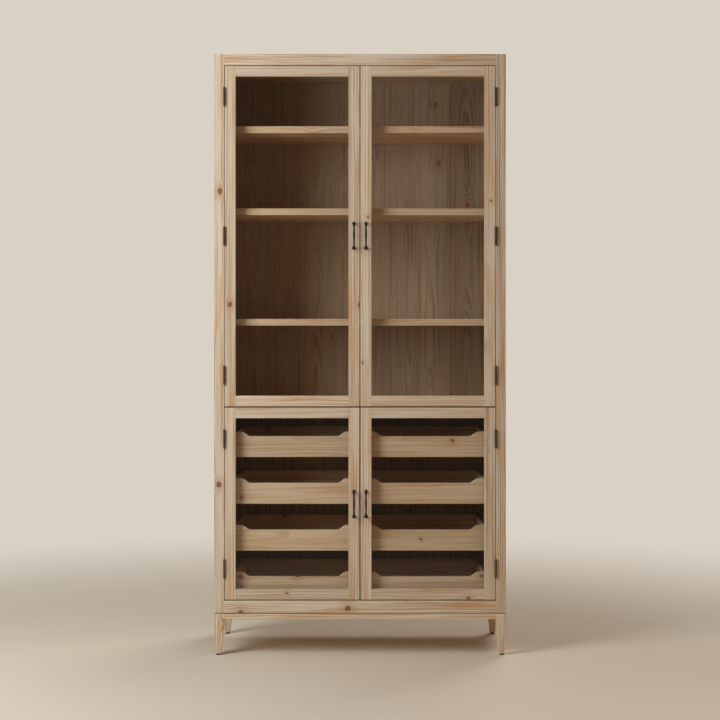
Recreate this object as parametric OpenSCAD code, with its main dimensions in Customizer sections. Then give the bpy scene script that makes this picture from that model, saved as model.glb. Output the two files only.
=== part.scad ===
// Tall glazed pantry cabinet on a legged base.
// Four inset doors hang on butt hinges. Three adjustable shelves stand behind the upper pair,
// and two columns of pull-out trays with scooped fronts stand behind the lower pair.
// Millimetres, +Z up, and the front faces -Y. The origin is on the floor, under the middle
// of the cabinet's whole box with its handles. Left and right are as seen from the front.

/* [Cabinet] */
// Width over the two sides
cabinet_w = 1070; // [1000:5:1200]
// Height from the floor to the top edge
cabinet_h = 2205; // [2120:5:2400]
// Depth from the front of the face frame to the back
cabinet_d = 450; // [430:5:560]
// Thickness of the side panels
side_t = 18; // [15:1:22]
// Thickness of the top, floor and centre panels
panel_t = 22; // [16:1:26]
// Thickness of the back panel
back_t = 10; // [6:1:14]

/* [Face frame] */
// Width of the two posts
post_w = 36.5; // [34:0.5:50]
// Thickness of the posts and rails
frame_t = 22; // [22:0.5:28]
// Height of the rail over the doors
top_rail_h = 40; // [30:1:60]
// Height of the rail under the doors
bottom_rail_h = 44.5; // [38:0.5:60]

/* [Base] */
// Height of the base, glides included
base_h = 152.5; // [130:0.5:180]
// Height of the shadow groove between the base and the face frame
groove_h = 3; // [2:0.5:6]
// Height of the aprons between the legs
apron_h = 20.5; // [16:0.5:40]
// Width of a leg at the floor
leg_foot_w = 21; // [18:0.5:26]
// Height of the glides under the legs
glide_h = 5; // [3:0.5:8]

/* [Doors] */
// Height of a lower door
lower_door_h = 704; // [690:1:720]
// Thickness of a door
door_t = 21; // [20:0.5:22]
// Width of the door stiles
stile_w = 40; // [34:1:50]
// Height of the door rails
rail_h = 38.5; // [34:0.5:50]
// Gap between the two doors of a pair
meeting_gap = 4; // [3:0.5:6]
// Thickness of the glass
glass_t = 4; // [3:0.5:5]

/* [Shelves] */
// Heights of the tops of the three adjustable shelves
shelf_tops = [1234, 1643, 1947]; // [1000:1:2100]
// Thickness of the adjustable and fixed shelves
shelf_t = 25; // [18:1:28]
// Distance of the adjustable shelves behind the face frame's front
shelf_setback = 55; // [50:1:90]

/* [Trays] */
// Rise from one tray to the next
tray_pitch = 172.7; // [168:0.1:174]
// Height of a tray front at its raised ends
tray_h = 94; // [80:1:100]
// Depth of the scoop in a tray front
scoop_depth = 17; // [8:1:24]
// Depth of a tray from front to back
tray_d = 372; // [350:1:385]
// Distance of the tray fronts behind the face frame's front
tray_setback = 36; // [34:1:44]
// Room between a tray side and its support, for a slide
slide_room = 13; // [12.5:0.1:14]

/* [Hardware] */
// Length of a handle
handle_len = 103; // [90:1:140]
// Distance from a door's face to the middle of its handle's bar
handle_standoff = 24; // [20:1:32]
// Height of a butt hinge
hinge_h = 67; // [50:1:80]
// Radius of a hinge's barrel
barrel_r = 4; // [3.5:0.1:4.5]
// Distance from a door's end to the middle of its first hinge
hinge_inset = 114; // [80:1:140]

/* [Hidden] */
$fn = 48;
seam = 0.1;              // glue line between two boards of one sub-part
rest_gap = 0.3;          // room between two bodies that pass each other
side_gap = 2;            // gap between a post and its door
top_gap = 3;             // gap between the upper doors and the top rail
bottom_gap = 4;          // gap between the lower doors and the bottom rail
middle_gap = 5;          // gap between the lower and upper doors
behind_door = 3;         // from the back of a closed door to the first board
shelf_overlap = 3;       // part of a lower door that stands in front of the fixed shelf
floor_drop = 4;          // step from the bottom rail down to the floor panel

flare_r = 8;             // radius of the flared foot of a handle
ball_r = 6;              // radius of the ball at the top of a handle
handle_reach = handle_standoff + flare_r;

half_w = cabinet_w / 2;
front_y = (handle_reach - cabinet_d) / 2;
back_y = front_y + cabinet_d;
inner_x = half_w - side_t;          // inner face of a side panel
inner_y = back_y - back_t;          // front face of the back panel
opening_x = half_w - post_w;        // inner edge of a post
frame_z = base_h + groove_h;        // bottom edge of the face frame
opening_z = frame_z + bottom_rail_h;
ceiling_z = cabinet_h - top_rail_h; // underside of the top panel and of the top rail

lower_z = opening_z + bottom_gap;
upper_z = lower_z + lower_door_h + middle_gap;
upper_door_h = ceiling_z - top_gap - upper_z;
free_x = meeting_gap / 2;           // meeting edge of a door
hinge_x = opening_x - side_gap;     // hinge edge of a door

fixed_shelf_z = lower_z + lower_door_h - shelf_overlap;
floor_z = opening_z - floor_drop;   // top of the floor panel
inside_y = front_y + door_t + behind_door;

lip_t = 9;               // wood left in front of the glass
rebate_w = 8;            // width of the rebate that the glass sits in
glass_edge = 7;          // part of the glass behind the frame

leaf_t = 1.9;            // thickness of a hinge leaf
leaf_proud = 0.8;        // part of a leaf that stands out of the wood
leaf_w = 17;             // width of a leaf along the door's thickness
leaf_tab = 2.8;          // from the hinge axis to where a leaf joins its knuckle
pin_r = 2;
pin_clearance = 0.05;
pin_head_r = 3;
pin_head_h = 1.5;
knuckles = 5;
POST_KNUCKLES = [0, 2, 4];
DOOR_KNUCKLES = [1, 3];
knuckle_gap = 0.15;      // play at each end of a door knuckle
pivot_x = opening_x - side_gap / 2;
pivot_y = front_y - barrel_r - rest_gap;
knuckle_h = hinge_h / knuckles;

tray_in_x = panel_t / 2 + slide_room; // side of a tray next to the centre partition
tray_out_x = 463;                     // outer side, clear of a door that stands open
tray_wall = 12;
tray_front_t = 18;
tray_bottom_t = 6;
tray_bottom_up = 12;     // height of the bottom over the tray's lower edge
tray_groove = 4;         // depth that the bottom is let into the sides
tray_side_up = 4;        // lower edge of the sides over that of the front
tray_side_drop = 2;      // upper edge of the sides under the front's raised ends
tray_floor_gap = 10;     // room under the lowest tray
trays = 4;
scoop_end_w = 27;        // width of a raised end
scoop_curve_w = 32;      // width of each curve from a raised end to the scoop
curve_steps = 8;
tray_y = front_y + tray_setback;
tray_box_y = tray_y + tray_front_t;

slide_len = 350;
slide_h = 45;
slide_metal = 1.2;
slide_lip = 9;           // how far a slide's lips reach
slide_play = 0.5;
slide_up = tray_h / 2;   // height of a slide's middle over the tray's lower edge
filler_x = tray_out_x + slide_room;
filler_h = 60;
filler_back = 10;        // room behind a filler strip

shelf_play = 1;          // room at each end of an adjustable shelf
shelf_back_play = 2;     // room behind an adjustable shelf
peg_r = 2.5;
peg_in = 10;             // length of a peg in the side panel
peg_out = 9;             // length of a peg under the shelf
peg_inset = 45;          // from a shelf's front or back edge to its pegs
peg_step = 32;           // spacing of the spare peg holes

catch_x = 22;            // a catch's inner end, from the cabinet's middle
catch_size = [46, 15, 14];
catch_slot = [38, 2, 2]; // slot in a catch's face
strike_size = [40, 1.2, 12];
strike_x = 25;
strike_drop = 3;         // from a catch's underside down to its strike plate's lower edge

leg_w = post_w;
leg_edge_taper = 4;      // taper of a leg's outer faces
leg_edge_z = 75;         // height where the outer taper begins
glide_r = 8.5;

SIDES = [-1, 1];
LEFT = -1;
RIGHT = 1;

// ---- helpers ----

// A box from its lowest corner to its highest.
module block(lo, hi) {
  translate(lo) cube(hi - lo);
}

// Draws its children on the right, or mirrored on the left.
module on_side(side) {
  if (side < 0) mirror([1, 0, 0]) children();
  else children();
}

module pine() { color("burlywood") children(); }
module pale_pine() { color("wheat") children(); }
module steel() { color("silver") children(); }
module bronze() { color("#4a3c30") children(); }
module iron() { color("#2b2826") children(); }

// Heights of the middles of a door's hinges.
function hinge_zs(z, h, count) =
  [for (i = [0 : count - 1]) z + hinge_inset + i * (h - 2 * hinge_inset) / (count - 1)];

LOWER_HINGES = hinge_zs(lower_z, lower_door_h, 2);
UPPER_HINGES = hinge_zs(upper_z, upper_door_h, 3);

function peg_z(top) = top - shelf_t - peg_r;
PEG_YS = [front_y + shelf_setback + peg_inset, inner_y - shelf_back_play - peg_inset];

function tray_z(row) = floor_z + tray_floor_gap + (trays - row) * tray_pitch;

// ---- carcass ----

module leaf_pocket(x0, x1, z) {
  block([x0, front_y, z - hinge_h / 2], [x1, front_y + leaf_w, z + hinge_h / 2]);
}

module face_frame() {
  pine() {
    for (side = SIDES) on_side(side) difference() {
      block([opening_x, front_y, frame_z], [half_w, front_y + frame_t, cabinet_h]);
      for (z = concat(LOWER_HINGES, UPPER_HINGES))
        leaf_pocket(opening_x, opening_x + leaf_t - leaf_proud, z);
    }
    block([seam - opening_x, front_y, frame_z],
          [opening_x - seam, front_y + frame_t, opening_z]);
    block([seam - opening_x, front_y, ceiling_z],
          [opening_x - seam, front_y + frame_t, cabinet_h]);
  }
}

module side_panels() {
  pine() for (side = SIDES) on_side(side) difference() {
    block([inner_x, front_y + frame_t, base_h], [half_w, back_y, cabinet_h]);
    for (top = shelf_tops, y = PEG_YS, step = [-1 : 1])
      translate([inner_x, y, peg_z(top) + step * peg_step])
        rotate([0, 90, 0]) cylinder(r = peg_r, h = peg_in);
  }
}

module panel(x, y0, y1, z0, z1) {
  pine() block([-x, y0, z0], [x, y1, z1]);
}

module top_panel() {
  panel(inner_x, front_y + frame_t, inner_y, ceiling_z, ceiling_z + panel_t);
}

module floor_panel() {
  panel(inner_x, front_y + frame_t, inner_y, floor_z - panel_t, floor_z);
}

module back_panel() {
  panel(inner_x, inner_y, back_y, base_h, cabinet_h);
}

module centre_partition() {
  panel(panel_t / 2, inside_y, inner_y, floor_z, fixed_shelf_z);
}

module fixed_shelf() {
  panel(inner_x, inside_y, inner_y, fixed_shelf_z, fixed_shelf_z + shelf_t);
}

module adjustable_shelves() {
  for (top = shelf_tops)
    panel(inner_x - shelf_play, front_y + shelf_setback, inner_y - shelf_back_play,
          top - shelf_t, top);
}

module shelf_pegs() {
  steel() for (side = SIDES) on_side(side)
    for (top = shelf_tops, y = PEG_YS)
      translate([inner_x - peg_out, y, peg_z(top)])
        rotate([0, 90, 0]) cylinder(r = peg_r, h = peg_in + peg_out);
}

// Strips that bring the slides in past an open door.
module slide_fillers() {
  pine() for (side = SIDES) on_side(side)
    for (row = [1 : trays]) {
      z = tray_z(row) + slide_up;
      block([filler_x, tray_box_y, z - filler_h / 2],
            [inner_x, inner_y - filler_back, z + filler_h / 2]);
    }
}

// Housings of the magnetic catches, with a slot between the magnet's two pole plates.
module magnetic_catches() {
  color("gainsboro") for (side = SIDES) on_side(side)
    for (top = [ceiling_z, fixed_shelf_z])
      translate([catch_x, front_y + door_t + strike_size.y + rest_gap, top - catch_size.z])
        difference() {
          cube(catch_size);
          translate([(catch_size.x - catch_slot.x) / 2, -1, (catch_size.z - catch_slot.z) / 2])
            cube(catch_slot + [0, 1, 0]);
        }
}

// ---- base ----

// Outline of a leg's face, from its outer edge inwards.
module leg_outline() {
  polygon([
    [0, base_h], [0, leg_edge_z], [leg_edge_taper, glide_h],
    [leg_edge_taper + leg_foot_w, glide_h], [leg_w, base_h - apron_h], [leg_w, base_h]
  ]);
}

// A leg with its outer corner on the Z axis, reaching along +X and +Y.
module leg() {
  intersection() {
    translate([0, leg_w, 0]) rotate([90, 0, 0]) linear_extrude(leg_w) leg_outline();
    mirror([1, -1, 0]) translate([0, leg_w, 0]) rotate([90, 0, 0])
      linear_extrude(leg_w) leg_outline();
  }
}

// Puts its children at the four corners, each turned to face inwards.
module at_corners() {
  for (x = SIDES, y = [0, 1])
    translate([x * half_w, y == 0 ? front_y : back_y, 0])
      mirror([x > 0 ? 1 : 0, 0, 0]) mirror([0, y, 0]) children();
}

module base_legs() {
  pine() at_corners() leg();
}

module leg_glides() {
  color("dimgray") at_corners()
    translate([leg_edge_taper + leg_foot_w / 2, leg_edge_taper + leg_foot_w / 2, 0])
      cylinder(r = glide_r, h = glide_h);
}

module base_aprons() {
  apron_t = 20;
  z = base_h - apron_h;
  pine() {
    for (y = [front_y, back_y - apron_t])
      block([leg_w - half_w, y, z], [half_w - leg_w, y + apron_t, base_h]);
    for (x = [-half_w, half_w - apron_t])
      block([x, front_y + leg_w, z], [x + apron_t, back_y - leg_w, base_h]);
  }
}

// ---- hinges ----

module knuckle(z, index, play) {
  translate([pivot_x, pivot_y, z - hinge_h / 2 + index * knuckle_h + play])
    cylinder(r = barrel_r, h = knuckle_h - 2 * play);
}

// One leaf of a hinge on the right: its plate, and a tab and a knuckle at each given index.
module leaf(x0, z, indices, play) {
  block([x0, front_y, z - hinge_h / 2], [x0 + leaf_t, front_y + leaf_w, z + hinge_h / 2]);
  for (i = indices) {
    z0 = z - hinge_h / 2 + i * knuckle_h;
    block([x0, pivot_y + leaf_tab, z0 + play], [x0 + leaf_t, front_y, z0 + knuckle_h - play]);
    knuckle(z, i, play);
  }
}

// The post's half of a hinge, with the fixed pin and its two heads.
module post_hinge(z) {
  leaf(opening_x - leaf_proud, z, POST_KNUCKLES, 0);
  translate([pivot_x, pivot_y, z - hinge_h / 2]) cylinder(r = pin_r, h = hinge_h);
  for (z0 = [z - hinge_h / 2 - pin_head_h, z + hinge_h / 2])
    translate([pivot_x, pivot_y, z0]) cylinder(r = pin_head_r, h = pin_head_h);
}

module post_hinges() {
  bronze() for (side = SIDES) on_side(side)
    for (z = concat(LOWER_HINGES, UPPER_HINGES)) post_hinge(z);
}

// The door's half of a hinge, bored for the pin.
module door_leaf(z) {
  difference() {
    leaf(hinge_x - leaf_t + leaf_proud, z, DOOR_KNUCKLES, knuckle_gap);
    translate([pivot_x, pivot_y, z - hinge_h]) cylinder(r = pin_r + pin_clearance, h = 2 * hinge_h);
  }
}

// ---- doors, drawn on the right from the lower edge z and the height h ----

module door_frame(side, z, h, hinges) {
  y1 = front_y + door_t;
  rail_x0 = free_x + stile_w + seam;
  rail_x1 = hinge_x - stile_w - seam;
  pale_pine() on_side(side) difference() {
    union() {
      block([free_x, front_y, z], [free_x + stile_w, y1, z + h]);
      block([hinge_x - stile_w, front_y, z], [hinge_x, y1, z + h]);
      for (z0 = [z, z + h - rail_h])
        block([rail_x0, front_y, z0], [rail_x1, y1, z0 + rail_h]);
    }
    glazing(z, h, rebate_w, front_y + lip_t, y1 + 1);
    for (hz = hinges) leaf_pocket(hinge_x - leaf_t + leaf_proud, hinge_x, hz);
  }
}

// The door's opening, grown by edge on every side, from y0 to y1.
module glazing(z, h, edge, y0, y1) {
  block([free_x + stile_w - edge, y0, z + rail_h - edge],
        [hinge_x - stile_w + edge, y1, z + h - rail_h + edge]);
}

module door_glass(side, z, h) {
  color("lightcyan", 0.3) on_side(side)
    glazing(z, h, glass_edge, front_y + lip_t, front_y + lip_t + glass_t);
}

// Four strips that hold the glass from behind.
module door_beads(side, z, h) {
  y0 = front_y + lip_t + glass_t;
  y1 = front_y + door_t;
  x0 = free_x + stile_w;
  x1 = hinge_x - stile_w;
  z0 = z + rail_h;
  z1 = z + h - rail_h;
  pale_pine() on_side(side) {
    for (x = [x0 - rebate_w, x1]) block([x, y0, z0 - rebate_w], [x + rebate_w, y1, z1 + rebate_w]);
    for (zb = [z0 - rebate_w, z1]) block([x0 + seam, y0, zb], [x1 - seam, y1, zb + rebate_w]);
  }
}

// The hinges' leaves and the strike plate of the catch.
module door_fittings(side, hinges, catch_top) {
  bronze() on_side(side) {
    for (z = hinges) door_leaf(z);
    translate([strike_x, front_y + door_t, catch_top - catch_size.z - strike_drop])
      cube(strike_size);
  }
}

// Half outline of the handle's bar: a flared foot, a waist, a belly and a collar under the ball.
module handle_outline() {
  end = handle_len / 2;
  polygon([
    [0, -end], [flare_r * 0.6, -end + 0.7], [flare_r * 0.92, -end + 2.6],
    [flare_r, -end + 5], [flare_r * 0.82, -end + 9], [flare_r * 0.55, -end + 13.5],
    [3.3, -end + 18], [2.9, -end + 24], [3.9, -2], [3.9, 8], [3.2, end - 26],
    [3.3, end - 20], [4.5, end - 13], [4.4, end - ball_r], [0, end - ball_r]
  ]);
}

module door_handle(side, z, h) {
  post_z = handle_len / 2 - ball_r;
  post_r1 = 3.6;
  post_r2 = 4.4;
  rose_r = ball_r;
  rose_t = 2;
  iron() on_side(side)
    translate([free_x + stile_w / 2, front_y - handle_standoff, z + h / 2]) {
      rotate_extrude() handle_outline();
      translate([0, 0, post_z]) sphere(r = ball_r);
      for (zp = [-post_z, post_z]) translate([0, 0, zp]) rotate([-90, 0, 0]) {
        cylinder(r1 = post_r1, r2 = post_r2, h = handle_standoff - rose_t);
        translate([0, 0, handle_standoff - rose_t]) cylinder(r = rose_r, h = rose_t);
      }
    }
}

// ---- trays, drawn on the right; row 1 is the top one ----

// One side of the scoop's edge: from the raised end down to the scoop.
function scoop_curve(top) = [
  for (i = [0 : curve_steps])
    [scoop_end_w + scoop_curve_w * i / curve_steps,
     top - scoop_depth * (1 - cos(180 * i / curve_steps)) / 2]
];

module tray_front_outline(w) {
  left = scoop_curve(tray_h);
  n = len(left);
  right = [for (i = [1 : n]) [w - left[n - i].x, left[n - i].y]];
  polygon(concat([[0, 0], [0, tray_h]], left, right, [[w, tray_h], [w, 0]]));
}

// The tray's bottom panel, grown by play on every side.
module tray_bottom(z, play) {
  z0 = z + tray_bottom_up;
  in = tray_wall - tray_groove;
  block([tray_in_x + in - play, tray_box_y - tray_groove - play, z0 - play],
        [tray_out_x - in + play, tray_y + tray_d - in + play, z0 + tray_bottom_t + play]);
}

module tray_front(side, row) {
  z = tray_z(row);
  pale_pine() on_side(side) difference() {
    translate([tray_in_x, tray_box_y, z]) rotate([90, 0, 0])
      linear_extrude(tray_front_t) tray_front_outline(tray_out_x - tray_in_x);
    tray_bottom(z, seam);
  }
}

// The tray's sides, back and bottom.
module tray_box(side, row) {
  z = tray_z(row);
  z0 = z + tray_side_up;
  z1 = z + tray_h - tray_side_drop;
  y1 = tray_y + tray_d;
  pine() on_side(side) {
    difference() {
      union() {
        for (x = [tray_in_x, tray_out_x - tray_wall])
          block([x, tray_box_y, z0], [x + tray_wall, y1, z1]);
        block([tray_in_x + tray_wall + seam, y1 - tray_wall, z0],
              [tray_out_x - tray_wall - seam, y1, z1]);
      }
      tray_bottom(z, seam);
    }
    tray_bottom(z, 0);
  }
}

// A slide's channel with its web at x and its lips reaching towards +X or -X.
module channel(x, direction, h, z) {
  translate([x, tray_box_y + slide_len, z]) rotate([90, 0, 0]) linear_extrude(slide_len)
    mirror([direction < 0 ? 1 : 0, 0]) difference() {
      translate([0, -h / 2]) square([slide_lip, h]);
      translate([slide_metal, slide_metal - h / 2])
        square([slide_lip, h - 2 * slide_metal]);
    }
}

module cabinet_slides() {
  steel() for (side = SIDES) on_side(side)
    for (row = [1 : trays]) {
      z = tray_z(row) + slide_up;
      channel(panel_t / 2, 1, slide_h, z);
      channel(filler_x, -1, slide_h, z);
    }
}

module tray_slides(side, row) {
  z = tray_z(row) + slide_up;
  h = slide_h - 2 * (slide_metal + slide_play);
  steel() on_side(side) {
    channel(tray_in_x, -1, h, z);
    channel(tray_out_x, 1, h, z);
  }
}

// ---- drawing ----

face_frame();
side_panels();
top_panel();
floor_panel();
back_panel();
centre_partition();
fixed_shelf();
adjustable_shelves();
shelf_pegs();
slide_fillers();
cabinet_slides();
post_hinges();
magnetic_catches();
base_legs();
base_aprons();
leg_glides();
door_frame(LEFT, upper_z, upper_door_h, UPPER_HINGES);  // upper_left_door_frame
door_glass(LEFT, upper_z, upper_door_h);  // upper_left_door_glass
door_beads(LEFT, upper_z, upper_door_h);  // upper_left_door_beads
door_handle(LEFT, upper_z, upper_door_h);  // upper_left_door_handle
door_fittings(LEFT, UPPER_HINGES, ceiling_z);  // upper_left_door_fittings
door_frame(RIGHT, upper_z, upper_door_h, UPPER_HINGES);  // upper_right_door_frame
door_glass(RIGHT, upper_z, upper_door_h);  // upper_right_door_glass
door_beads(RIGHT, upper_z, upper_door_h);  // upper_right_door_beads
door_handle(RIGHT, upper_z, upper_door_h);  // upper_right_door_handle
door_fittings(RIGHT, UPPER_HINGES, ceiling_z);  // upper_right_door_fittings
door_frame(LEFT, lower_z, lower_door_h, LOWER_HINGES);  // lower_left_door_frame
door_glass(LEFT, lower_z, lower_door_h);  // lower_left_door_glass
door_beads(LEFT, lower_z, lower_door_h);  // lower_left_door_beads
door_handle(LEFT, lower_z, lower_door_h);  // lower_left_door_handle
door_fittings(LEFT, LOWER_HINGES, fixed_shelf_z);  // lower_left_door_fittings
door_frame(RIGHT, lower_z, lower_door_h, LOWER_HINGES);  // lower_right_door_frame
door_glass(RIGHT, lower_z, lower_door_h);  // lower_right_door_glass
door_beads(RIGHT, lower_z, lower_door_h);  // lower_right_door_beads
door_handle(RIGHT, lower_z, lower_door_h);  // lower_right_door_handle
door_fittings(RIGHT, LOWER_HINGES, fixed_shelf_z);  // lower_right_door_fittings
tray_front(LEFT, 1);  // tray_l1_front
tray_box(LEFT, 1);  // tray_l1_box
tray_slides(LEFT, 1);  // tray_l1_slides
tray_front(LEFT, 2);  // tray_l2_front
tray_box(LEFT, 2);  // tray_l2_box
tray_slides(LEFT, 2);  // tray_l2_slides
tray_front(LEFT, 3);  // tray_l3_front
tray_box(LEFT, 3);  // tray_l3_box
tray_slides(LEFT, 3);  // tray_l3_slides
tray_front(LEFT, 4);  // tray_l4_front
tray_box(LEFT, 4);  // tray_l4_box
tray_slides(LEFT, 4);  // tray_l4_slides
tray_front(RIGHT, 1);  // tray_r1_front
tray_box(RIGHT, 1);  // tray_r1_box
tray_slides(RIGHT, 1);  // tray_r1_slides
tray_front(RIGHT, 2);  // tray_r2_front
tray_box(RIGHT, 2);  // tray_r2_box
tray_slides(RIGHT, 2);  // tray_r2_slides
tray_front(RIGHT, 3);  // tray_r3_front
tray_box(RIGHT, 3);  // tray_r3_box
tray_slides(RIGHT, 3);  // tray_r3_slides
tray_front(RIGHT, 4);  // tray_r4_front
tray_box(RIGHT, 4);  // tray_r4_box
tray_slides(RIGHT, 4);  // tray_r4_slides
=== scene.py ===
"""The looks of a tall glazed pine pantry cabinet, built round its CAD frame.

Metres, +Z up, and the front faces -Y. Left and right are as seen from the front.
"""

import math
import random

import bmesh
import bpy
import numpy as np
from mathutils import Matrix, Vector


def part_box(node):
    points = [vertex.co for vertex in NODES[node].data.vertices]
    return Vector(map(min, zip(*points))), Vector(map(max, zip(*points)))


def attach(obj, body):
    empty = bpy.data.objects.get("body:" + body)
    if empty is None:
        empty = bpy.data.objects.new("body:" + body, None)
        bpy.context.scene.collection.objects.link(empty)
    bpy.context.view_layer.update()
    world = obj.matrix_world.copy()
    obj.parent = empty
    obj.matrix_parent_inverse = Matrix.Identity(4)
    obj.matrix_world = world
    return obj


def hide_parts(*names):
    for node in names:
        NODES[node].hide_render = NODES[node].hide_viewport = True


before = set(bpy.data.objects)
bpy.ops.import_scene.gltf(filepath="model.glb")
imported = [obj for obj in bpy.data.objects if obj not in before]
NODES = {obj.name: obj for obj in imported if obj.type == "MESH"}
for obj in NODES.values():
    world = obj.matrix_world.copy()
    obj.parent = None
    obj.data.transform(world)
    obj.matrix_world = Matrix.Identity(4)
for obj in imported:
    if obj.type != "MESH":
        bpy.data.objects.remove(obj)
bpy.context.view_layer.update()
FRONT_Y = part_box("face_frame")[0].y
BACK_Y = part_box("back_panel")[1].y
TOP_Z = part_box("face_frame")[1].z
DOORS = [f"{level}_{side}_door" for level in ("upper", "lower") for side in ("left", "right")]
TRAYS = [f"tray_{side}{row}" for side in "lr" for row in range(1, 5)]

MM = 0.001


# ---- colours and node helpers ----


def srgb(r, g, b):
    """A display colour from 0 to 255, as the linear colour that shaders take."""

    def linear(c):
        c /= 255
        return c / 12.92 if c <= 0.04045 else ((c + 0.055) / 1.055) ** 2.4

    return (linear(r), linear(g), linear(b), 1.0)


class Nodes:
    """A material's node tree, with short calls for the nodes that the looks use."""

    def __init__(self, name):
        self.material = bpy.data.materials.new(name)
        self.material.use_nodes = True
        self.tree = self.material.node_tree
        self.shader = self.tree.nodes["Principled BSDF"]

    def add(self, kind, inputs=None, **settings):
        node = self.tree.nodes.new(kind)
        for key, value in settings.items():
            setattr(node, key, value)
        for key, value in (inputs or {}).items():
            self.put(value, node.inputs[key])
        return node

    def put(self, value, socket):
        """Links a socket, or sets it to a plain value."""
        if isinstance(value, bpy.types.NodeSocket):
            self.tree.links.new(value, socket)
        else:
            socket.default_value = value

    def set(self, **values):
        """Sets the shader's sockets. An underscore stands for a space."""
        for key, value in values.items():
            self.put(value, self.shader.inputs[key.replace("_", " ")])

    def math(self, operation, a, b=0.0, c=0.0, clamp=False):
        node = self.add("ShaderNodeMath", operation=operation, use_clamp=clamp)
        for socket, value in zip(node.inputs, (a, b, c)):
            self.put(value, socket)
        return node.outputs[0]

    def plus(self, a, b):
        return self.math("ADD", a, b)

    def minus(self, a, b):
        return self.math("SUBTRACT", a, b)

    def times(self, a, b):
        return self.math("MULTIPLY", a, b)

    def over(self, a, b):
        return self.math("DIVIDE", a, b)

    def squared(self, a):
        return self.math("POWER", a, 2.0)

    def ramp(self, value, start, rise):
        """start where the value is 0, and start + rise where it is 1."""
        return self.math("MULTIPLY_ADD", value, rise, start)

    def swing(self, value, width):
        """Spreads a value from 0 to 1 over a width with 0 in its middle."""
        return self.times(self.minus(value, 0.5), width)

    def step(self, value, low, high, to_low=0.0, to_high=1.0):
        """A smooth step from low to high."""
        node = self.add("ShaderNodeMapRange", interpolation_type="SMOOTHSTEP")
        for index, v in enumerate((value, low, high, to_low, to_high)):
            self.put(v, node.inputs[index])
        return node.outputs[0]

    def blend(self, amount, a, b, kind="MIX"):
        node = self.add("ShaderNodeMix", data_type="RGBA", blend_type=kind)
        for index, value in ((0, amount), (6, a), (7, b)):
            self.put(value, node.inputs[index])
        return node.outputs[2]

    def vector(self, x, y, z):
        node = self.add("ShaderNodeCombineXYZ")
        for socket, value in zip(node.inputs, (x, y, z)):
            self.put(value, socket)
        return node.outputs[0]

    def parts(self, vector):
        return self.add("ShaderNodeSeparateXYZ", {0: vector}).outputs

    def scaled(self, vector, x, y, z):
        node = self.add("ShaderNodeVectorMath", {0: vector}, operation="MULTIPLY")
        node.inputs[1].default_value = (x, y, z)
        return node.outputs[0]

    def attribute(self, name):
        return self.add("ShaderNodeAttribute", attribute_name=name).outputs["Vector"]

    def object_place(self):
        return self.add("ShaderNodeTexCoord").outputs["Object"]

    def noise(self, vector, scale=1.0, detail=2.0, roughness=0.5):
        inputs = {"Vector": vector, "Scale": scale, "Detail": detail, "Roughness": roughness}
        return self.add("ShaderNodeTexNoise", inputs).outputs[0]

    def drawn_out(self, grain, fineness, detail=2.0, roughness=0.5):
        """Noise drawn out along the grain. The fineness is per metre, along and across."""
        along, across = fineness
        return self.noise(self.scaled(grain, along, across, across), 1.0, detail, roughness)

    def bump(self, height, strength, distance):
        inputs = {"Height": height, "Strength": strength, "Distance": distance}
        self.set(Normal=self.add("ShaderNodeBump", inputs).outputs[0])


# ---- wood ----

PLANK_WIDTH = 0.118  # of the glued-up boards in a wide panel
SEAM_FROM, SEAM_TO = 1.1 * MM, 0.2 * MM  # from the edge of a glued-up board

# A board's random numbers move its patterns this far, so that no two boards look the same.
SHIFT_ALONG = 37.0
SHIFT_KNOT_ROWS = 61.0

# Knots lie in the cells of a pattern, one or none in each.
KNOT_CELL = 0.15  # the cell's width
KNOT_CELL_STRETCH = 1.25  # its length over its width
KNOT_SHARE = 0.45  # of the cells that have a knot
KNOT_RADIUS, KNOT_RADIUS_MORE = 2.6 * MM, 6.0 * MM  # the smallest, and what the largest adds
KNOT_REACH = 3.0  # how many radii away the rings bend round a knot
KNOT_SWELL = 2.2  # how many radii they bend by
KNOT_WOBBLE, WOBBLE_FINENESS = 0.8, 160.0  # of its outline, in radii, and per metre
EULER = 2.718  # Euler's number, near enough for a knot's bell curve

# The tree's axis lies behind the board, somewhere over a range across it.
AXIS_DEPTH, AXIS_DEPTH_MORE = 8 * MM, 30 * MM  # the least, and what the deepest adds
AXIS_RANGE, AXIS_RANGE_PLANK = 1.6 * PLANK_WIDTH, 0.5 * PLANK_WIDTH
LEAN_FINENESS = 1.1  # of the axis's lean, per metre along the grain
LEAN_SIDEWAYS = 0.3  # the share of the lean that goes across the board
BEND_SIZE = 9.0 * MM  # of small bends in the rings
UNEVEN_SIZE, UNEVEN_FINENESS = 22 * MM, 55.0  # of the rings' uneven widths, and per metre

# How fine each pattern is, per metre along and across the grain.
BEND = (5.0, 30.0)
CLEAR = (2.4, 34.0)
FIBRE = (7.0, 620.0)
STREAK = (1.5, 120.0)
BAND = (0.9, 26.0)
RESIN = (3.2, 60.0)

WARM_TINT = srgb(200, 152, 104)
RESIN_TINT = srgb(204, 148, 96)
HALO_TINT = srgb(176, 116, 66)
HEART_TINT = srgb(128, 74, 38)
BARK_TINT = srgb(78, 44, 24)
SEAM_TINT = srgb(96, 66, 42)


def glued_up(n, across, numbers):
    """Splits a panel into boards, edge to edge.

    Returns the place across a board, measured from its middle, and the board's own numbers.
    """
    index = n.math("FLOOR", n.over(across, PLANK_WIDTH))
    middle = n.times(n.plus(index, 0.5), PLANK_WIDTH)
    shifted = n.add("ShaderNodeVectorMath", {0: numbers, 1: n.vector(index, 0.0, 0.0)})
    own = n.add("ShaderNodeTexWhiteNoise", {"Vector": shifted.outputs[0]}).outputs["Color"]
    return n.minus(across, middle), own


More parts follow.
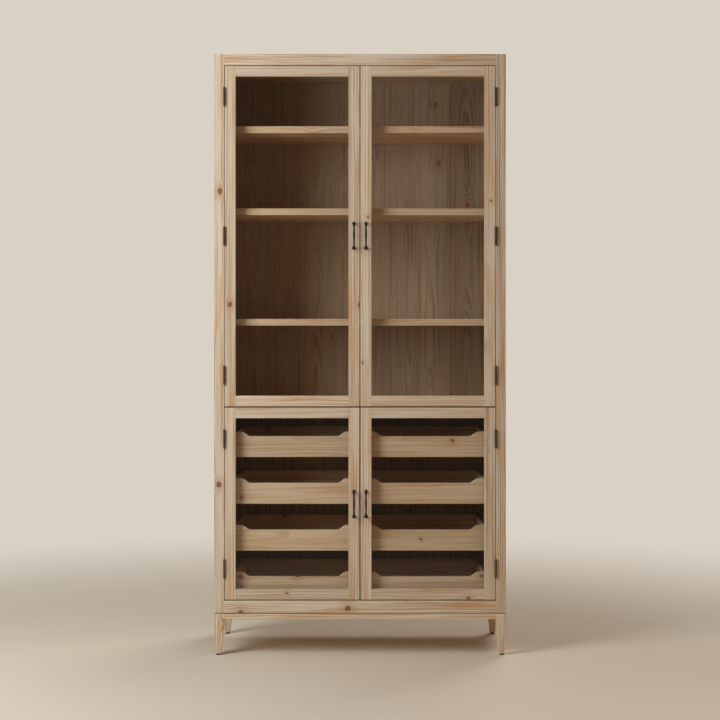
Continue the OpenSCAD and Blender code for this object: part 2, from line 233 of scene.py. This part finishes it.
def knots_in(n, place, along, across, shift):
    """Knots, each with its own radius.

    Returns how far the rings swell round a knot, its halo, its heart and its ring of bark.
    """
    row = n.plus(n.over(across, KNOT_CELL), n.times(shift, SHIFT_KNOT_ROWS))
    where = n.vector(n.over(along, KNOT_CELL * KNOT_CELL_STRETCH), row, 0.0)
    cells = n.add("ShaderNodeTexVoronoi", {"Vector": where, "Scale": 1.0}, voronoi_dimensions="2D")
    c1, c2, _ = n.parts(cells.outputs["Color"])
    there = n.math("LESS_THAN", c1, KNOT_SHARE)
    radius = n.ramp(n.squared(c2), KNOT_RADIUS, KNOT_RADIUS_MORE)
    away = n.times(cells.outputs["Distance"], KNOT_CELL)
    wobble = n.noise(n.scaled(place, WOBBLE_FINENESS, WOBBLE_FINENESS, WOBBLE_FINENESS))
    radii = n.plus(n.over(away, radius), n.swing(wobble, KNOT_WOBBLE))
    bell_curve = n.math("POWER", EULER, n.times(n.squared(n.over(radii, KNOT_REACH)), -1.0))
    halo = n.times(bell_curve, there)
    heart = n.times(n.step(radii, 1.2, 0.6), there)
    from_bark = n.math("ABSOLUTE", n.minus(radii, 0.95))
    bark = n.times(n.step(from_bark, 0.35, 0.05), there)
    return n.times(halo, n.times(radius, KNOT_SWELL)), halo, heart, bark


def ring_lines(n, grain, numbers, swell, spacing, flame, axis_range):
    """The dark lines of growth rings, round a tree's axis that leans to and fro along the board.

    A line darkens slowly, ends sharply, and fades in and out along the grain.
    """
    along, across, through = n.parts(grain)
    r1, r2, r3 = numbers
    lean = n.swing(n.noise(n.vector(n.times(along, LEAN_FINENESS), r2, r3)), flame)
    dy = n.plus(n.minus(across, n.swing(r1, axis_range)), n.times(lean, LEAN_SIDEWAYS))
    dz = n.plus(n.plus(through, n.ramp(r2, AXIS_DEPTH, AXIS_DEPTH_MORE)), lean)
    ring = n.math("SQRT", n.plus(n.squared(dy), n.squared(dz)))
    ring = n.plus(ring, n.swing(n.drawn_out(grain, BEND, 3.0), BEND_SIZE))
    ring = n.plus(ring, swell)
    uneven = n.noise(n.vector(n.times(ring, UNEVEN_FINENESS), r1, r2), 1.0, 1.0)
    ring = n.plus(ring, n.swing(uneven, UNEVEN_SIZE))
    phase = n.math("FRACT", n.over(ring, spacing))
    line = n.times(n.step(phase, 0.15, 0.75), n.step(phase, 1.0, 0.86))
    return n.times(line, n.step(n.drawn_out(grain, CLEAR), 0.36, 0.62, 0.2, 1.0))


def wood(name, pale, late, spacing=9 * MM, contrast=0.9, streaks=1.7, flame=60 * MM, planks=False):
    """Pine: growth rings cut by the board, fibres along the grain, knots and bands of tone.

    spacing is between rings. contrast and streaks say how clear the rings and the streaks are,
    and flame how far the tree's axis leans. planks asks for boards glued edge to edge.

    The mesh attribute "board" gives a point's place along, across and through its board, and
    "board_id" three random numbers for the board.
    """
    n = Nodes(name)
    place = n.attribute("board")
    board_id = n.attribute("board_id")
    along, across, through = n.parts(place)
    axis_range = AXIS_RANGE
    if planks:
        across, board_id = glued_up(n, across, board_id)
        axis_range = AXIS_RANGE_PLANK
    r1, r2, r3 = n.parts(board_id)
    along = n.plus(along, n.times(r1, SHIFT_ALONG))
    grain = n.vector(along, across, through)
    swell, halo, heart, bark = knots_in(n, place, along, across, r2)
    line = ring_lines(n, grain, (r1, r2, r3), swell, spacing, flame, axis_range)
    fibre = n.drawn_out(grain, FIBRE, 3.0, 0.6)
    streak = n.drawn_out(grain, STREAK, 3.0, 0.65)
    band = n.drawn_out(grain, BAND)
    resin = n.drawn_out(grain, RESIN, 2.0, 0.6)

    amount = n.plus(n.times(line, contrast), n.swing(streak, streaks))
    amount = n.math("ADD", amount, n.swing(fibre, 0.7), clamp=True)
    colour = n.blend(amount, pale, late)
    colour = n.blend(n.step(band, 0.48, 0.72, 0.0, 0.35), colour, WARM_TINT)
    colour = n.blend(n.step(resin, 0.52, 0.70, 0.0, 0.5), colour, RESIN_TINT)
    tone = n.ramp(r3, 0.90, 0.18)
    colour = n.blend(1.0, colour, n.vector(tone, tone, tone), "MULTIPLY")
    colour = n.blend(n.times(halo, 0.45), colour, HALO_TINT)
    colour = n.blend(n.times(heart, 0.75), colour, HEART_TINT)
    colour = n.blend(n.times(bark, 0.6), colour, BARK_TINT)
    height = n.plus(n.times(line, 0.5), n.times(fibre, 0.8))
    if planks:
        half = PLANK_WIDTH / 2
        seam = n.step(n.math("ABSOLUTE", across), half - SEAM_FROM, half - SEAM_TO)
        colour = n.blend(n.times(seam, 0.45), colour, SEAM_TINT)
        height = n.minus(height, n.times(seam, 1.5))
    n.set(Base_Color=colour, IOR=1.45, Roughness=n.ramp(fibre, 0.48, 0.22))
    n.bump(height, 0.5, 0.3 * MM)
    return n.material


# ---- metal, glass and plastic ----


def iron():
    """Black waxed cast iron, a little rough from the mould."""
    n = Nodes("cast_iron")
    place = n.object_place()
    cast = n.noise(place, 900.0, 4.0, 0.65)
    worn = n.step(n.noise(place, 140.0, 3.0), 0.45, 0.7)
    n.set(Base_Color=n.blend(worn, srgb(72, 68, 63), srgb(110, 104, 97)))
    n.set(Metallic=0.7, Roughness=n.ramp(cast, 0.26, 0.22))
    n.bump(cast, 0.35, 0.3 * MM)
    return n.material


def bronze():
    """Oil-rubbed bronze: dark brown, with lighter metal showing through in places."""
    n = Nodes("oil_rubbed_bronze")
    place = n.object_place()
    rub = n.step(n.noise(place, 260.0, 4.0, 0.7), 0.4, 0.7)
    brush = n.noise(n.scaled(place, 1500.0, 1500.0, 60.0))
    n.set(Base_Color=n.blend(rub, srgb(98, 82, 66), srgb(142, 126, 106)))
    n.set(Metallic=0.6, Roughness=n.ramp(brush, 0.32, 0.22))
    n.bump(brush, 0.2, 0.1 * MM)
    return n.material


def zinc():
    """Bright zinc-plated steel with fine rolling marks and cloudy patches."""
    n = Nodes("zinc_steel")
    place = n.object_place()
    cloud = n.noise(place, 90.0, 3.0)
    rolled = n.noise(n.scaled(place, 1800.0, 20.0, 1800.0))
    n.set(Base_Color=n.blend(cloud, srgb(172, 174, 176), srgb(206, 208, 208)))
    n.set(Metallic=0.55, Roughness=n.ramp(rolled, 0.24, 0.18))
    n.bump(rolled, 0.15, 0.05 * MM)
    return n.material


def plastic(name, light, dark):
    """Moulded plastic with a fine spark-eroded grain."""
    n = Nodes(name)
    place = n.object_place()
    fine = n.noise(place, 2600.0)
    n.set(Base_Color=n.blend(n.noise(place, 60.0), light, dark))
    n.set(Roughness=n.ramp(fine, 0.42, 0.2))
    n.bump(fine, 0.2, 0.08 * MM)
    return n.material


def glass():
    """A thin clear pane: what is behind shows through it, and it mirrors more at a slant."""
    n = Nodes("clear_glass")
    n.tree.nodes.remove(n.shader)
    wave = n.noise(n.object_place(), 5.0, 1.0)
    bump = n.add("ShaderNodeBump", {"Height": wave, "Strength": 0.05, "Distance": 0.5 * MM})
    normal = bump.outputs[0]
    clear = n.add("ShaderNodeBsdfTransparent", {"Color": srgb(252, 253, 252)})
    shine = n.add("ShaderNodeBsdfAnisotropic", {"Roughness": 0.03, "Normal": normal})
    slant = n.add("ShaderNodeLayerWeight", {"Blend": 0.5, "Normal": normal}).outputs["Facing"]
    mirrored = n.ramp(n.math("POWER", slant, 5.0), 0.04, 0.96)
    both = n.add("ShaderNodeMixShader", {0: mirrored, 1: clear.outputs[0], 2: shine.outputs[0]})
    n.put(both.outputs[0], n.tree.nodes["Material Output"].inputs["Surface"])
    return n.material


PALE, LATE = srgb(230, 214, 189), srgb(184, 143, 102)
LOOKS = {
    "frame_pine": wood("frame_pine", PALE, LATE),
    "panel_pine": wood("panel_pine", PALE, LATE, planks=True),
    "door_pine": wood(
        "door_pine", srgb(222, 204, 180), srgb(181, 140, 100), contrast=0.7, streaks=1.35
    ),
    "shelf_pine": wood("shelf_pine", srgb(238, 208, 175), srgb(200, 150, 107), planks=True),
    "tray_pine": wood(
        "tray_pine", srgb(231, 202, 170), srgb(194, 148, 108),
        spacing=14 * MM, contrast=0.45, streaks=1.1, flame=200 * MM,
    ),
    "back_pine": wood(
        "back_pine", srgb(188, 167, 143), srgb(134, 108, 84),
        streaks=0.9, flame=190 * MM, planks=True,
    ),
    "iron": iron(),
    "bronze": bronze(),
    "zinc": zinc(),
    "catch_plastic": plastic("catch_plastic", srgb(150, 118, 86), srgb(134, 104, 74)),
    "glide_plastic": plastic("glide_plastic", srgb(34, 32, 31), srgb(22, 21, 20)),
    "glass": glass(),
}


# ---- CAD nodes: a material, the grain of each board and eased edges ----

WELD_DISTANCE = 0.01 * MM
SHARP = math.radians(30)
LONG_EDGE = 80 * MM  # Shorter edges, at boards' ends and in hinge recesses, can stay sharp.


def places(mesh):
    return np.array([v.co for v in mesh.vertices])


def welded(mesh):
    """For each vertex, a number that all vertices at its place share."""
    rounded = np.round(places(mesh) / WELD_DISTANCE)
    return np.unique(rounded, axis=0, return_inverse=True)[1].reshape(-1)


def solids(mesh):
    """For each of a mesh's closed solids, which vertices belong to it."""
    same = welded(mesh)
    parent = list(range(same.max() + 1))

    def root(i):
        while parent[i] != i:
            parent[i] = parent[parent[i]]
            i = parent[i]
        return i

    for polygon in mesh.polygons:
        first = root(same[polygon.vertices[0]])
        for v in polygon.vertices[1:]:
            parent[root(same[v])] = first
    roots = np.array([root(i) for i in same])
    return [roots == r for r in np.unique(roots)]


def lay_grain(node):
    """Gives each board of a wooden node its grain, along its longest side, and random numbers."""
    mesh = NODES[node].data
    co = places(mesh)
    place, ident = np.zeros_like(co), np.zeros_like(co)
    for k, mine in enumerate(solids(mesh)):
        low, high = co[mine].min(0), co[mine].max(0)
        longest_first = np.argsort(low - high)
        place[mine] = (co[mine] - (low + high) / 2)[:, longest_first]
        pick = random.Random(f"{node} {k}")
        ident[mine] = [pick.random() for _ in range(3)]
    for name, values in (("board", place), ("board_id", ident)):
        attribute = mesh.attributes.new(name, "FLOAT_VECTOR", "POINT")
        attribute.data.foreach_set("vector", values.astype(np.float32).reshape(-1))


def ease_edges(node, width, shortest):
    """Rounds the outer edges of a node that are at least as long as shortest."""
    o = NODES[node]
    mesh = o.data
    same = welded(mesh)
    faces_at = {}
    for polygon in mesh.polygons:
        ids = [same[v] for v in polygon.vertices]
        for a, b in zip(ids, ids[1:] + ids[:1]):
            faces_at.setdefault((min(a, b), max(a, b)), []).append(polygon)
    weights = np.zeros(len(mesh.edges), np.float32)
    for edge in mesh.edges:
        a, b = edge.vertices
        near = faces_at.get(tuple(sorted((same[a], same[b]))), [])
        start, end = mesh.vertices[a].co, mesh.vertices[b].co
        if len(near) != 2 or (end - start).length < shortest:
            continue
        one, two = near
        juts_out = one.normal.dot(two.center - start) < 0
        if juts_out and one.normal.angle(two.normal, 0.0) > SHARP:
            weights[edge.index] = 1.0
    attribute = mesh.attributes.new("bevel_weight_edge", "FLOAT", "EDGE")
    attribute.data.foreach_set("value", weights)
    weld = o.modifiers.new("weld", "WELD")
    weld.merge_threshold = WELD_DISTANCE
    bevel = o.modifiers.new("eased", "BEVEL")
    bevel.limit_method = "WEIGHT"
    bevel.width = width
    bevel.segments = 2
    bevel.use_clamp_overlap = False


def dress(node, look):
    NODES[node].data.materials.clear()
    NODES[node].data.materials.append(LOOKS[look])


def dress_wood(node, look, width, shortest=0.0):
    dress(node, look)
    lay_grain(node)
    ease_edges(node, width, shortest)


def dress_cabinet():
    dress_wood("face_frame", "frame_pine", 0.9 * MM, LONG_EDGE)
    dress_wood("side_panels", "panel_pine", 1.0 * MM, LONG_EDGE)
    dress_wood("back_panel", "back_pine", 0.5 * MM)
    for node in ("top_panel", "floor_panel", "centre_partition"):
        dress_wood(node, "panel_pine", 1.0 * MM)
    for node in ("fixed_shelf", "adjustable_shelves"):
        dress_wood(node, "shelf_pine", 1.4 * MM)
    dress_wood("slide_fillers", "tray_pine", 1.0 * MM)
    for node in ("base_legs", "base_aprons"):
        dress_wood(node, "frame_pine", 1.2 * MM)
    for node in ("shelf_pegs", "cabinet_slides"):
        dress(node, "zinc")
    dress("post_hinges", "bronze")
    dress("magnetic_catches", "catch_plastic")
    dress("leg_glides", "glide_plastic")


def dress_doors():
    for door in DOORS:
        dress_wood(f"{door}_frame", "door_pine", 0.9 * MM, LONG_EDGE)
        dress_wood(f"{door}_beads", "door_pine", 1.5 * MM)
        dress(f"{door}_glass", "glass")
        dress(f"{door}_fittings", "bronze")


def dress_trays():
    for tray in TRAYS:
        dress_wood(f"{tray}_front", "tray_pine", 1.5 * MM)
        dress_wood(f"{tray}_box", "tray_pine", 1.2 * MM)
        dress(f"{tray}_slides", "zinc")


# ---- turned shapes ----


def join_rings(bm, rings):
    """Faces between each ring of vertices and the next, and across the first ring."""
    for one, two in zip(rings, rings[1:]):
        for k in range(len(one)):
            j = (k + 1) % len(one)
            bm.faces.new((one[k], one[j], two[j], two[k]))
    bm.faces.new(list(reversed(rings[0])))


def lathe(bm, profile, centre, axis, segments=40):
    """Turns a profile of (place along the axis, radius) round an axis through centre."""
    axis = Vector(axis)
    u = axis.orthogonal().normalized()
    v = axis.cross(u)
    rings = []
    for along, radius in profile:
        middle = Vector(centre) + axis * along
        turns = (math.tau * k / segments for k in range(segments))
        rings.append([bm.verts.new(middle + (u * math.cos(t) + v * math.sin(t)) * radius) for t in turns])
    join_rings(bm, rings)
    bm.faces.new(rings[-1])


def catmull_rom(p0, p1, p2, p3, t):
    """A value on the smooth curve from p1, where t is 0, to p2, where it is 1."""
    square = 2 * p0 - 5 * p1 + 4 * p2 - p3
    cube = 3 * p1 - p0 - 3 * p2 + p3
    return 0.5 * (2 * p1 + (p2 - p0) * t + square * t * t + cube * t**3)


def smooth_profile(points, steps=6):
    """A smooth curve through (place, radius) points."""
    ends = [points[0]] + list(points) + [points[-1]]
    out = []
    for four in zip(ends, ends[1:], ends[2:], ends[3:]):
        for k in range(steps):
            out.append(tuple(catmull_rom(*values, k / steps) for values in zip(*four)))
    return out + [points[-1]]


def to_mesh(bm, name):
    bmesh.ops.recalc_face_normals(bm, faces=bm.faces)
    mesh = bpy.data.meshes.new(name)
    bm.to_mesh(mesh)
    bm.free()
    return mesh


def new_object(name, mesh, look, smooth=True):
    for polygon in mesh.polygons:
        polygon.use_smooth = smooth
    mesh.materials.append(LOOKS[look])
    o = bpy.data.objects.new(name, mesh)
    bpy.context.scene.collection.objects.link(o)
    return o


def baked(o):
    """The object's mesh with its modifiers applied. The object goes."""
    graph = bpy.context.evaluated_depsgraph_get()
    mesh = bpy.data.meshes.new_from_object(o.evaluated_get(graph))
    bpy.data.objects.remove(o)
    return mesh


# ---- handles: forged pulls with a round head, a slim grip and a flared foot ----

POST_INSET = 6 * MM  # from the grip's ends to its posts, where the foot is widest

# The grip's outline, as (place, radius) in millimetres. The foot's places are counted from the
# foot's end, the belly's from the middle, and the head's from the head's end.
FOOT_END = ((0, 1.2), (0.8, 4.6), (3.2, 7.2))
ABOVE_FOOT = ((8.6, 7.2), (12, 4.9), (17, 3.5), (24, 2.9), (36, 3.4))
BELLY = ((-3, 4.0), (10, 4.0))
BELOW_HEAD = ((27, 3.3), (20, 3.4), (15, 4.6), (12.5, 4.5), (10, 5.7), (6.3, 6.3))
HEAD_END = ((2.6, 5.2), (0.7, 3.0), (0, 0.8))


def outline(points, start=0.0, direction=1):
    """The points of an outline in metres, counted up or down from start."""
    return [(start + direction * along * MM, radius * MM) for along, radius in points]


def grip_profile(half, foot_r):
    """The whole grip, from the foot's end to the head's, round its middle."""
    foot = outline(FOOT_END, -half) + [(-half + POST_INSET, foot_r)] + outline(ABOVE_FOOT, -half)
    head = outline(BELOW_HEAD + HEAD_END, half, -1)
    return smooth_profile(foot + outline(BELLY) + head)


def post_profile(reach):
    """A post, from the grip's axis to the door, where its flange spreads and sinks in a little."""
    neck = [(0.0, 4.4 * MM), (reach * 0.3, 3.7 * MM), (reach * 0.6, 3.5 * MM)]
    flange = outline(((3.6, 4.2), (2.2, 5.6), (1.4, 6.3), (-0.6, 6.3)), reach, -1)
    return smooth_profile(neck + flange)


def handle(door):
    """A pull inside its CAD node's box: the grip stands off the door on two flared posts."""
    low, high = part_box(f"{door}_handle")
    half = (high.z - low.z) / 2
    foot_r = (high.x - low.x) / 2
    x, y, z = (low.x + high.x) / 2, low.y + foot_r, (low.z + high.z) / 2
    bm = bmesh.new()
    lathe(bm, grip_profile(half, foot_r), (x, y, z), (0, 0, 1))
    for up in (POST_INSET - half, half - POST_INSET):
        lathe(bm, post_profile(high.y - y), (x, y, z + up), (0, 1, 0))
    rough = new_object("rough", to_mesh(bm, "rough"), "iron")
    remesh = rough.modifiers.new("cast", "REMESH")
    remesh.mode = "VOXEL"
    remesh.voxel_size = 0.75 * MM
    soften = rough.modifiers.new("soften", "SMOOTH")
    soften.iterations = 5
    pull = new_object(f"{door}_pull", baked(rough), "iron")
    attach(pull, door)
    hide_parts(f"{door}_handle")


# ---- screws ----

# Each kind of head's radius, and how far it stands proud.
HINGE_SCREW = (3.0 * MM, 0.12 * MM)
HANDLE_SCREW = (4.2 * MM, 2.0 * MM)
BACK_SCREW = (3.6 * MM, 0.1 * MM)
HINGE_SCREW_STEP = 22 * MM
BACK_SCREW_STEP = 150 * MM
HINGE_HEIGHT = 50 * MM  # A hinge's half is taller than this, and the other fittings are not.
LEAF_FACE = 0.2 * MM  # from the middle of a hinge half's box


def screw_head(bm, place, facing, kind):
    """A low domed head with a cross recess, on the face at place."""
    radius, proud = kind
    facing = Vector(facing)
    u = facing.orthogonal().normalized()
    v = facing.cross(u)
    segments, buried, recess = 24, 0.3 * MM, 0.6 * proud + 0.2 * MM
    arm, width = 0.55 * radius, 0.16 * radius

    def point(x, y, up):
        return bm.verts.new(Vector(place) + u * x + v * y + facing * up)

    def ring(r, up):
        turns = (math.tau * k / segments for k in range(segments))
        return [point(r * math.cos(t), r * math.sin(t), up) for t in turns]

    rim = ring(radius, -buried), ring(radius, 0.4 * proud)
    crown = ring(0.88 * radius, proud), ring(0.62 * radius, proud)
    join_rings(bm, [*rim, *crown])
    cross = []
    for a, b in ((1, 0), (0, 1), (-1, 0), (0, -1)):
        cross.append((a * arm + b * width, b * arm - a * width))
        cross.append((a * arm - b * width, b * arm + a * width))
        cross.append(((a - b) * width, (a + b) * width))
    top = [point(x, y, proud) for x, y in cross]
    deep = [point(0.8 * x, 0.8 * y, proud - recess) for x, y in cross]
    bm.faces.new(deep)
    for k in range(len(cross)):
        j = (k + 1) % len(cross)
        out = [crown[-1][(2 * k + i) % segments] for i in range(3)]
        bm.faces.new((top[k], top[j], deep[j], deep[k]))
        bm.faces.new((out[0], out[1], top[k]))
        bm.faces.new((out[1], out[2], top[j], top[k]))


def hinge_boxes(node):
    """The boxes of a node's hinge halves."""
    mesh = NODES[node].data
    co = places(mesh)
    boxes = [(Vector(co[mine].min(0)), Vector(co[mine].max(0))) for mine in solids(mesh)]
    return [(low, high) for low, high in boxes if high.z - low.z > HINGE_HEIGHT]


def hinge_screws(bm, node, turn):
    """Three screws in each leaf. turn is 1 on the post's leaves and -1 on the door's."""
    for low, high in hinge_boxes(node):
        middle = (low + high) / 2
        side = math.copysign(1, middle.x) * turn
        for k in (-1, 0, 1):
            x, y = middle.x + side * LEAF_FACE, (FRONT_Y + high.y) / 2
            screw_head(bm, (x, y, middle.z + k * HINGE_SCREW_STEP), (-side, 0, 0), HINGE_SCREW)


def handle_screws(bm, door):
    """Two pan heads on the back of the meeting stile hold the pull."""
    low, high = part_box(f"{door}_handle")
    x, back = (low.x + high.x) / 2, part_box(f"{door}_frame")[1].y
    for z in (low.z + POST_INSET, high.z - POST_INSET):
        screw_head(bm, (x, back, z), (0, 1, 0), HANDLE_SCREW)


def back_screws(bm):
    """Rows of screws through the back panel, into the boards that it is fixed to."""
    for node in ("floor_panel", "fixed_shelf", "top_panel"):
        low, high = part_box(node)
        for k in range(-3, 4):
            screw_head(bm, (k * BACK_SCREW_STEP, BACK_Y, (low.z + high.z) / 2), (0, 1, 0), BACK_SCREW)
    low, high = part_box("centre_partition")
    for k in (1, 2, 3):
        screw_head(bm, (0.0, BACK_Y, low.z + (high.z - low.z) * k / 4), (0, 1, 0), BACK_SCREW)


def add_screws(bm, body):
    heads = new_object(f"{body}_screws", to_mesh(bm, f"{body}_screws"), "zinc", smooth=False)
    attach(heads, body)


def screws():
    """One piece of joined screw heads on the cabinet, and one on each door."""
    bm = bmesh.new()
    hinge_screws(bm, "post_hinges", 1)
    back_screws(bm)
    add_screws(bm, "cabinet")
    for door in DOORS:
        bm = bmesh.new()
        hinge_screws(bm, f"{door}_fittings", -1)
        handle_screws(bm, door)
        add_screws(bm, door)


# ---- the studio ----


def floor():
    """A plain pale floor, which fades out into the backdrop on every side."""
    radius, clear_from = 3.6, 0.8
    bm = bmesh.new()
    bmesh.ops.create_circle(bm, cap_ends=True, segments=96, radius=radius)
    o = bpy.data.objects.new("floor", to_mesh(bm, "floor"))
    bpy.context.scene.collection.objects.link(o)
    n = Nodes("floor")
    place = n.object_place()
    out = n.add("ShaderNodeVectorMath", {0: place}, operation="LENGTH").outputs["Value"]
    n.set(Base_Color=n.blend(n.noise(place, 2.0), srgb(240, 227, 208), srgb(235, 221, 201)))
    n.set(Roughness=0.6, Alpha=n.step(out, radius, clear_from))
    o.data.materials.append(n.material)


def area_light(name, place, size, power, colour, mirrored=False):
    """A soft box, width by height, that faces the middle of the cabinet's front."""
    data = bpy.data.lights.new(name, "AREA")
    data.shape = "RECTANGLE"
    data.size, data.size_y = size
    data.energy = power
    data.color = colour
    o = bpy.data.objects.new(name, data)
    o.location = place
    aim = Vector((0.0, FRONT_Y, TOP_Z / 2)) - o.location
    o.rotation_euler = aim.to_track_quat("-Z", "Y").to_euler()
    o.visible_glossy = mirrored
    bpy.context.scene.collection.objects.link(o)


def backdrop():
    """A pale world that the camera sees bright and that lights the object only softly."""
    world = bpy.data.worlds.new("studio")
    bpy.context.scene.world = world
    world.use_nodes = True
    tree = world.node_tree
    glow = tree.nodes["Background"]
    glow.inputs["Color"].default_value = srgb(226, 211, 192)
    glow.inputs["Strength"].default_value = 0.115
    seen = tree.nodes.new("ShaderNodeBackground")
    seen.inputs["Color"].default_value = srgb(218, 209, 197)
    path = tree.nodes.new("ShaderNodeLightPath")
    mix = tree.nodes.new("ShaderNodeMixShader")
    tree.links.new(path.outputs["Is Camera Ray"], mix.inputs[0])
    tree.links.new(glow.outputs[0], mix.inputs[1])
    tree.links.new(seen.outputs[0], mix.inputs[2])
    tree.links.new(mix.outputs[0], tree.nodes["World Output"].inputs["Surface"])


def studio():
    """A soft key from the left at the cabinet's own height, a warm fill from the right, and light
    from above and from behind.

    Glass and metal mirror only "sheen", a dim lamp in the key's place, so the panes stay clear.
    """
    bpy.context.scene.view_settings.view_transform = "Standard"
    backdrop()
    key_place, key_size = (-1.85, FRONT_Y - 1.5, 1.95), (1.2, 2.0)
    area_light("key", key_place, key_size, 53.0, (0.91, 0.96, 1.0))
    area_light("sheen", key_place, key_size, 6.0, (1.0, 1.0, 1.0), mirrored=True)
    area_light("fill", (2.2, FRONT_Y - 1.8, 1.2), (1.6, 1.6), 7.0, (1.0, 0.6, 0.32))
    area_light("top", (0.0, FRONT_Y - 0.6, 4.6), (3.6, 3.0), 26.0, (1.0, 0.97, 0.93))
    area_light("back", (1.8, BACK_Y + 3.0, 4.4), (2.4, 2.4), 100.0, (1.0, 0.96, 0.92))
    floor()


def camera():
    """Level, in front of the middle of the cabinet and at about half its height."""
    distance, height, focal_mm, sensor_mm = 6.0, 1.193, 81.8, 36.0
    lens_shift = -0.0417  # a share of the sensor's width
    data = bpy.data.cameras.new("camera")
    data.lens = focal_mm
    data.sensor_width = sensor_mm
    data.shift_y = lens_shift
    o = bpy.data.objects.new("camera", data)
    o.location = (0.0, FRONT_Y - distance, height)
    o.rotation_euler = (math.pi / 2, 0.0, 0.0)
    bpy.context.scene.collection.objects.link(o)
    bpy.context.scene.camera = o


camera()
dress_cabinet()
dress_doors()
dress_trays()
for door in DOORS:
    handle(door)
screws()
studio()
